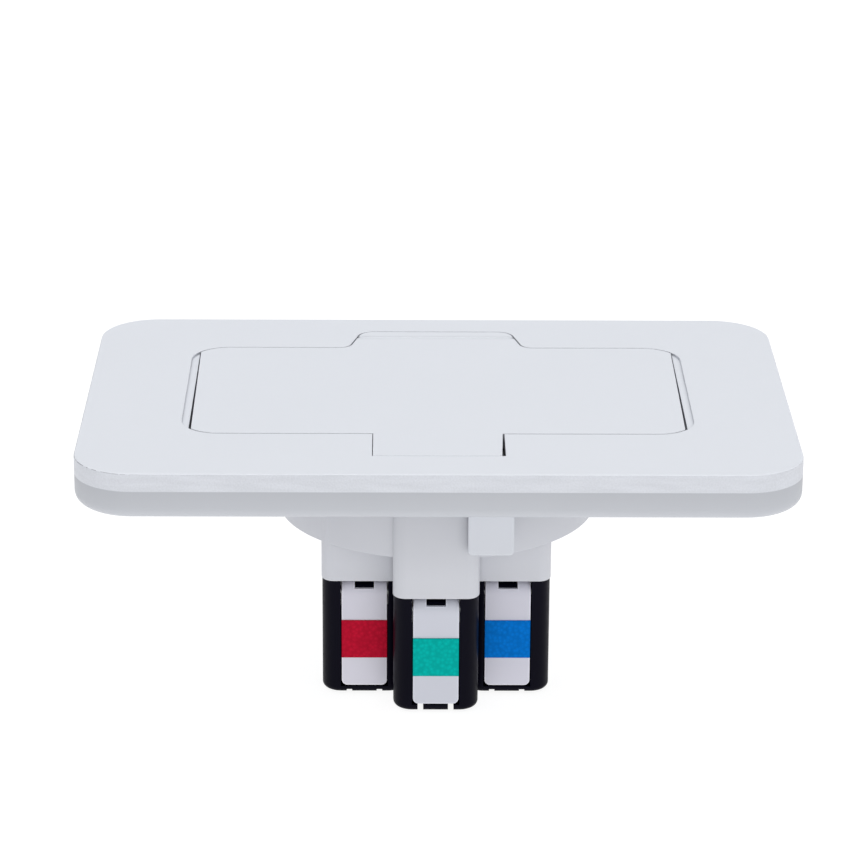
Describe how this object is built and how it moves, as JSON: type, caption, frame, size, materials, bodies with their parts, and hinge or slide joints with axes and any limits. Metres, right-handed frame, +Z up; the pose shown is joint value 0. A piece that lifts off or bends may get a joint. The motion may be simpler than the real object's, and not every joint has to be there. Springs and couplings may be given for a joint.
{
  "type": "flush desk outlet",
  "caption": "Flush desk outlet: a hinged cross-shaped lid in a rounded plate over a round-pin socket, with a round housing and colour-marked lever terminals below.",
  "frame": {"origin": "centre of the base frame's underside, the face that rests on the desk", "axes": "+X along the plate, +Y towards the lid's hinge, +Z up"},
  "size_m": [0.12, 0.08, 0.048],
  "materials": {
    "cover_white": "fine matt, painted look",
    "frame_white": "matt moulded",
    "housing_white": "satin moulded",
    "socket_white": "satin moulded",
    "terminal_black": "satin moulded, fine texture",
    "lever_white": "satin moulded",
    "marker_red": "matt printed film",
    "marker_green": "matt printed film",
    "marker_blue": "matt printed film",
    "contact_brass": "stamped, bright",
    "spring_steel": "rolled strip",
    "screw_steel": "zinc plated",
    "pad_rubber": "matt"
  },
  "bodies": {
    "base": {"cover_plate": "cover_white", "lid_hinge_leaf": "cover_white", "base_frame": "frame_white", "socket_housing": "housing_white", "socket_face": "socket_white", "lid_bumpers": "pad_rubber", "cover_screws": "screw_steel", "housing_screws": "screw_steel", "face_screws": "screw_steel", "live_contact": "contact_brass", "live_busbar": "contact_brass", "live_terminal": "terminal_black", "live_lever_pin": "screw_steel", "live_clamp_spring": "spring_steel", "neutral_contact": "contact_brass", "neutral_busbar": "contact_brass", "neutral_terminal": "terminal_black", "neutral_lever_pin": "screw_steel", "neutral_clamp_spring": "spring_steel", "earth_contact": "contact_brass", "earth_busbar": "contact_brass", "earth_terminal": "terminal_black", "earth_lever_pin": "screw_steel", "earth_clamp_spring": "spring_steel"},
    "lid": {"lid": "cover_white"},
    "live_lever": {"live_lever": "lever_white", "live_marker": "marker_red"},
    "neutral_lever": {"neutral_lever": "lever_white", "neutral_marker": "marker_blue"},
    "earth_lever": {"earth_lever": "lever_white", "earth_marker": "marker_green"}
  },
  "joints": [
    {"name": "lid_hinge", "type": "hinge", "parent": "base", "child": "lid", "pos_m": [0, 0.0297, 0.0079], "axis": [-1, 0, 0], "range_deg": [0, 120]},
    {"name": "live_lever_pivot", "type": "hinge", "parent": "base", "child": "live_lever", "pos_m": [-0.0124, -0.0165, -0.0221], "axis": [-1, 0, 0], "range_deg": [0, 90]},
    {"name": "neutral_lever_pivot", "type": "hinge", "parent": "base", "child": "neutral_lever", "pos_m": [0.01205, -0.0165, -0.0221], "axis": [-1, 0, 0], "range_deg": [0, 90]},
    {"name": "earth_lever_pivot", "type": "hinge", "parent": "base", "child": "earth_lever", "pos_m": [-0.00025, -0.0243, -0.0221], "axis": [-1, 0, 0], "range_deg": [0, 90]}
  ]
}
